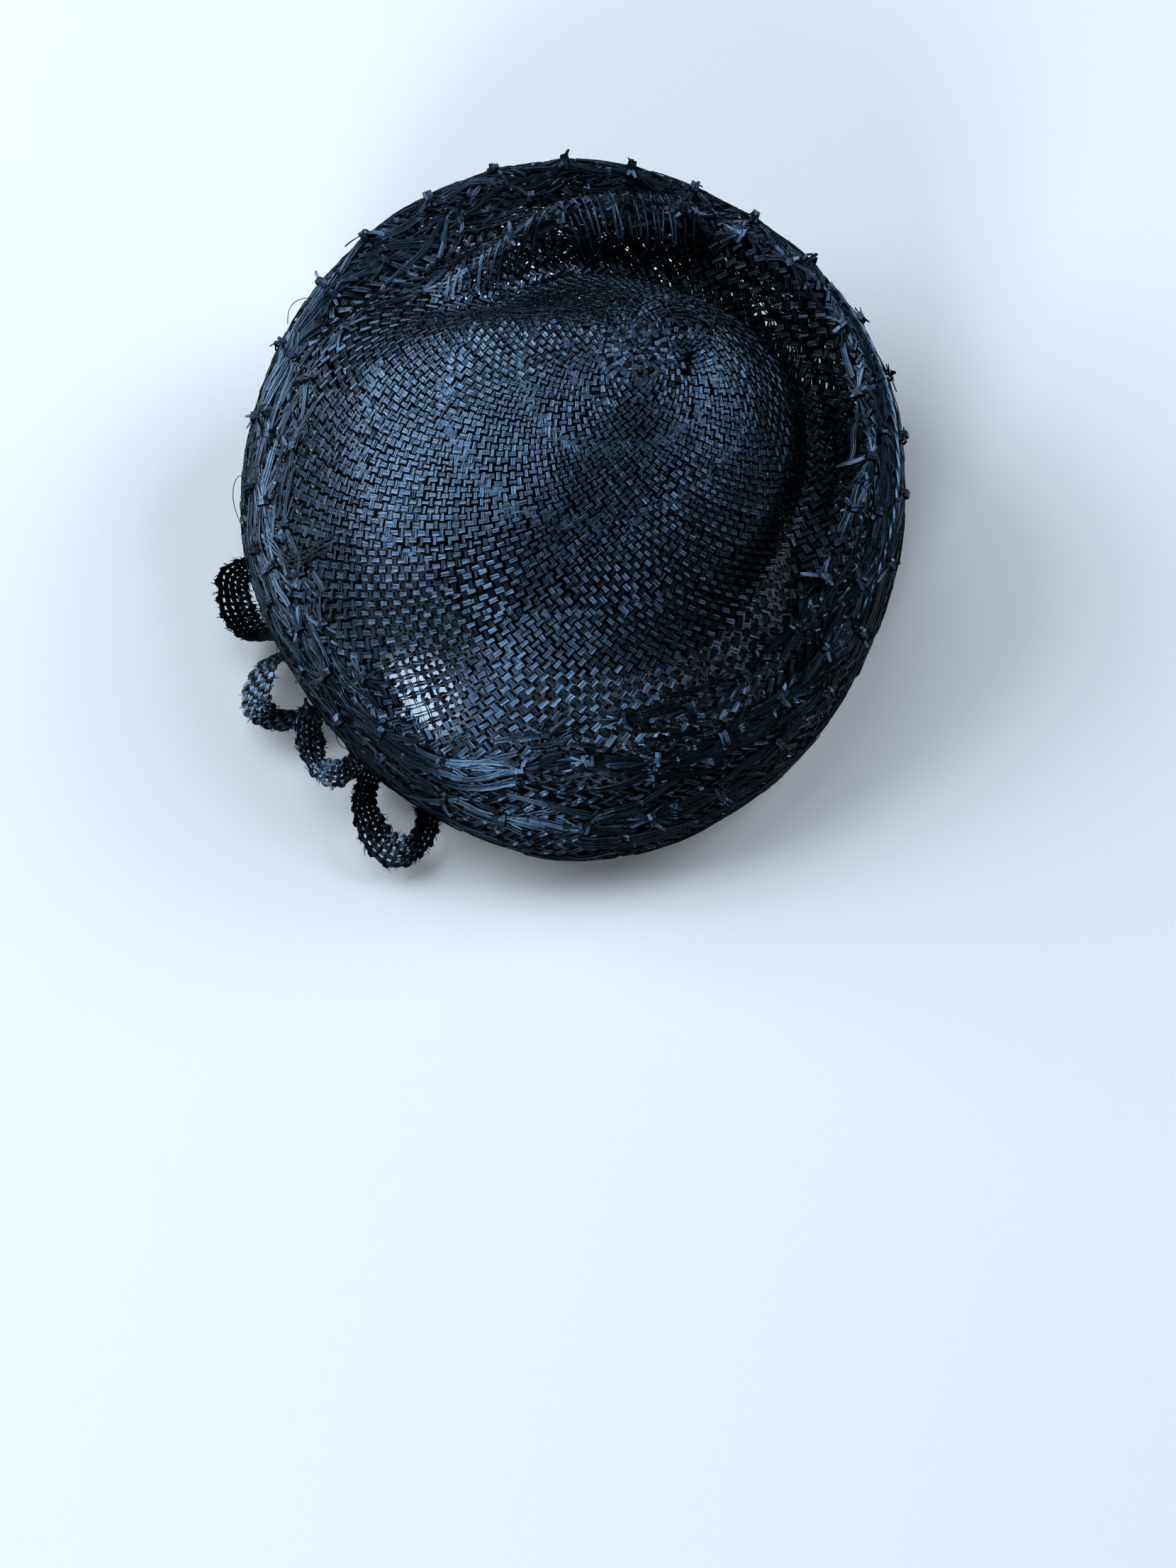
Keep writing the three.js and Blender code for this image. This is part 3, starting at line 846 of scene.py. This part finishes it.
loose = Strands(corners=3)
floats(loose, 380, 6.05, 8.3, (14, 44), 10)
floats(loose, 90, 4.5, 6.0, (12, 32), 14)
over_fold(loose, 26, (243, 272), 7, 0.6, 0.2)
over_fold(loose, 13, (278, 304), -10, 0.85, 0.45)
edge_cord(loose, (152, 218), 6.93)
for _ in range(STRAY_HAIRS):
    stray_hair(loose, chance.uniform(0, 360), chance.choice([5.0, 7.0, 7.6]), chance.uniform(6, 16),
               chance.uniform(2, 6.5), chance.normal(0, 0.4))
print(loose.number, "loose straws")

# %% [markdown]
# A knot is a bundle that fans out to both sides, three turns of straw round its waist, and the cut ends of
# the tie. Those on the edge have more ends and stand prouder, and show as nubs along the outline.

# %% Tied knots
TIES = {"fold": (3, 1.0), "band": (3, 1.0), "edge": (6, 1.35)}    # ends of the tie, and how proud it stands


def knot(strands, azimuth, row, ring, speed, ends, proud):
    """Fans to both sides, turns round the waist, and the ends of the tie."""
    def spot(across, down):
        return azimuth + np.degrees(np.asarray(across) / ring), row + np.asarray(down) / speed

    for side in (-1, 1):
        for slope in np.linspace(-0.5, 0.5, 6) + chance.normal(0, 0.05, 6):
            reach = chance.uniform(9, 15)
            run = np.linspace(-1.2, reach, 6)
            down = slope * np.maximum(run, 0) * (0.55 + 0.45 * np.maximum(run, 0) / reach)
            down += 0.5 * slope + wander(6, 0.12, 2)
            height = np.interp(run, (-1.2, 0, 3, reach), (0.2, 0.55, 0.25, -1.3)) + chance.normal(0, 0.1)
            lay(strands, *spot(side * run, down), height, np.interp(run, (0, reach), (0.55, 1.25)), 0.25)
    for turn_number in (-1, 0, 1):
        shift = turn_number * 0.85 + chance.normal(0, 0.2)
        half = chance.uniform(1.7, 3.2)
        down = half * np.array([-1.0, -0.85, -0.35, 0.35, 0.85, 1.0])
        lean = chance.normal(0, 0.25) * down
        hump = np.array([-1.3, 0.5, 1.6, 1.6, 0.5, -1.3]) * chance.uniform(0.8, 1.25) * proud
        lay(strands, *spot(shift + lean, down), hump, 1.15, 0.4, chance.uniform(0.6, 1))
    for _ in range(chance.integers(1, ends + 2)):
        away = chance.choice([-1, 1])
        length = chance.choice([chance.uniform(1.8, 3.6), chance.uniform(1.8, 3.6), chance.uniform(4, 7)])
        run = np.linspace(0, 1, 6)
        lean = chance.normal(0, 0.6)
        rise = chance.uniform(0.3, 2.2) * proud
        curl = chance.normal(0, 0.5) * length
        lay(strands, *spot(lean * length * run + curl * run**2, away * length * run), 1.0 + rise * run**1.5,
            np.interp(run, (0, 0.8, 1), (1.5, 1.3, 0.9)), 0.35, chance.uniform(0.4, 1))


for (azimuth, row, name), ring, speed in zip(knots, knot_ring, knot_speed):
    knot(loose, azimuth, row, ring, speed, *TIES[name])
loose_piece = loose.piece("knots_and_loose_straws", band_straw)
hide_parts("crown", "brim")

# %% [markdown]
# Four loops of woven straw ribbon stand out at the back. A ribbon is woven, not plaited: a few straws run
# along it and one straw goes back and forth across them, which gives the rows of pinholes and the knobbly
# edges. Each loop follows the two edge curves of its CAD strip, from the band and back to it.

# %% Places of the ribbon loops
LOOPS = {   # stand-off, start, rows and end, each place as azimuth, radius and height of both edges
    "loop_1": (1.4, ((1.5, 13), (2.5, 5)), (
        ((2.8, 125, 15), (4.2, 120, 7)), ((5.2, 131, 17), (6.2, 121.5, 8)),
        ((9.4, 132.5, 17), (8.8, 120.5, 8)), ((13.6, 131.5, 16), (11.8, 119, 7)),
        ((17.2, 127, 14), (14.8, 116.5, 6))), ((18.8, 11), (16.8, 4))),
    "loop_2": (1.3, ((20, 6), (23.4, 12)), (
        ((20.8, 123, 7), (24, 118, 14)), ((23.6, 131, 7), (26, 121, 14)),
        ((27.4, 135.5, 8), (28.8, 125.5, 14)), ((31.8, 135, 13), (30.6, 124.5, 8)),
        ((35, 129, 13), (31.8, 119, 6))), ((36.6, 10), (33, 4))),
    "loop_3": (0.7, ((34.2, 22), (38, 16)), (
        ((35.6, 121, 21), (39.4, 118, 15)), ((38.4, 127, 21), (41.6, 120, 15)),
        ((42, 130.5, 20), (44, 124.5, 16)), ((46, 132, 17), (45.6, 125, 21)),
        ((49.2, 129, 16), (47.2, 122.5, 22))), ((50.4, 15), (47.8, 21))),
    "loop_4": (1.3, ((49, 11), (51.6, 4)), (
        ((50.6, 124, 12), (52.8, 118.5, 5)), ((53.2, 132, 13), (54.8, 123.5, 6)),
        ((56.2, 138, 13), (57.4, 126.5, 7)), ((59.6, 141.5, 10), (60, 129.5, 9)),
        ((62.8, 141, 8), (62, 130, 11)), ((65, 135, 7), (63, 127, 13)),
        ((66, 126, 6), (62, 120.5, 12))), ((65.4, 5), (61, 11))),
}


def polar(azimuth, radius, height):
    angle = math.radians(azimuth)
    return np.array([radius * math.cos(angle), radius * math.sin(angle), height])


def seat(azimuth, height, stand_off):
    side = around_hat(np.array([azimuth]))[0, 8:]
    rest = 1 / math.hypot(math.cos(math.radians(azimuth)) / (HEAD_OVAL[0] + REST_BAND),
                          math.sin(math.radians(azimuth)) / (HEAD_OVAL[1] + REST_BAND))
    angle = math.asin(1 - height / side[1])
    return polar(azimuth, rest + (side[0] - rest) * math.cos(angle) + stand_off, height)


def smooth_path(points, count):
    points = np.array(points)
    padded = np.concatenate([[2 * points[0] - points[1]], points, [2 * points[-1] - points[-2]]])[None]
    places = []
    for position in np.linspace(0, len(points) - 1, count):
        step = min(int(position), len(points) - 2)
        places.append(curve_between(*(padded[:, step + i] for i in range(4)), position - step)[0])
    return np.array(places)


print("ribbon loops:", ", ".join(LOOPS))

# %% [markdown]
# The ribbon is woven flat, along and across, and each place is then put between the two edge curves. The
# long straws are the warp. The weft is one straw that crosses them over and under, turns round the last
# one and comes back. Short frayed ends stand out at the edges.

# %% Weave a ribbon
RIBBON_WARPS = 5
WEFT_PITCH = 2.2             # mm along the ribbon from one pass of the weft to the next
EDGE_PLACES = 400            # places that an edge curve is measured at
WARP_PAD = 0.26              # part of a pass, each side of a crossing, where a long straw lies flat
WARP_LIFT, WEFT_LIFT = 0.2, 0.22
WEFT_WIDTH = 1.5             # mm
FRAYED_ENDS = 70


def ribbon(strands, stand_off, start, places, end):
    edges = []
    for side in (0, 1):
        between = [polar(*place[side]) for place in places]
        stops = [seat(*start[side], stand_off), *between, seat(*end[side], stand_off)]
        edges.append(smooth_path(stops, EDGE_PLACES))
    outer, inner = edges
    middle = (outer + inner) / 2
    length = np.concatenate([[0], np.cumsum(np.linalg.norm(np.diff(middle, axis=0), axis=1))])
    along = np.gradient(middle, axis=0)
    normal = np.cross(along, inner - outer)
    normal /= np.linalg.norm(normal, axis=1)[:, None]
    passes = int(length[-1] / WEFT_PITCH)
    uneven = np.concatenate([[0], np.cumsum(WEFT_PITCH * (1 + np.clip(wander(passes, 0.16, 2), -0.3, 0.3)))])
    uneven *= length[-1] / uneven[-1]

    def spot(run, across, height):
        o, i, n = (np.stack([np.interp(run, length, values[:, axis]) for axis in range(3)], 1)
                   for values in (outer, inner, normal))
        n /= np.linalg.norm(n, axis=1)[:, None]
        wide = np.linalg.norm(i - o, axis=1)
        return o + (i - o) * across[:, None] + n * np.asarray(height)[:, None], n, wide

    steps = np.sort(np.concatenate([np.arange(passes) - WARP_PAD, np.arange(passes) + WARP_PAD]))[1:-1]
    for warp in range(RIBBON_WARPS):
        across = np.full(len(steps), (warp + 0.5) / RIBBON_WARPS)
        over = np.where((np.round(steps) + warp) % 2 == 0, 1.0, -1.0)
        across = across + wander(len(steps), 0.012, 4)
        run = np.interp(steps + 0.5, np.arange(passes + 1), uneven)
        place, up, wide = spot(run, across, over * WARP_LIFT)
        wide = wide * (1 + chance.normal(0, 0.08, len(steps)))
        place = place + chance.normal(0, 0.05, place.shape)
        strands.add(place, up, 0.74 * wide / RIBBON_WARPS, STRAW_THICKNESS)
    runs, spans, lifts = [], [], []
    for number in range(passes):
        back = number % 2
        warps = np.arange(RIBBON_WARPS)[::-1 if back else 1]
        runs += [number + 0.1, *([number + 0.5] * RIBBON_WARPS), number + 0.9]
        spans += [float(back), *((warps + 0.5) / RIBBON_WARPS), 1.0 - back]
        lifts += [0.0, *np.where((number + warps) % 2 == 0, -WEFT_LIFT, WEFT_LIFT), 0.0]
    runs = np.interp(runs, np.arange(passes + 1), uneven)
    place, up, _ = spot(runs, np.array(spans) + chance.normal(0, 0.012, len(runs)), np.array(lifts))
    place += chance.normal(0, 0.06, place.shape)
    strands.add(place, up, WEFT_WIDTH * (1 + chance.normal(0, 0.1, len(place))), STRAW_THICKNESS)
    for _ in range(FRAYED_ENDS):
        run = np.full(4, chance.uniform(1, length[-1] - 1)) + np.linspace(0, chance.normal(0, 1.2), 4)
        rim = chance.choice([0, 1])
        out = np.linspace(-0.05, chance.uniform(0.04, 0.16), 4)
        place, up, _ = spot(run, rim + out * (1 if rim else -1), chance.normal(0, 0.5) * out * 8)
        strands.add(place, up, np.array([0.3, 0.28, 0.22, 0.12]), 0.14)


print("a ribbon has", RIBBON_WARPS, "long straws and a pass of the weft every", WEFT_PITCH, "mm")

# %% [markdown]
# Each loop is its own piece with its own mesh, and takes the place of its own CAD strip.

# %% Ribbon loops
for name, (stand_off, start, places, end) in LOOPS.items():
    straws = Strands()
    ribbon(straws, stand_off, start, places, end)
    piece = straws.piece("ribbon_" + name, ribbon_straw)
    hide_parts(name)
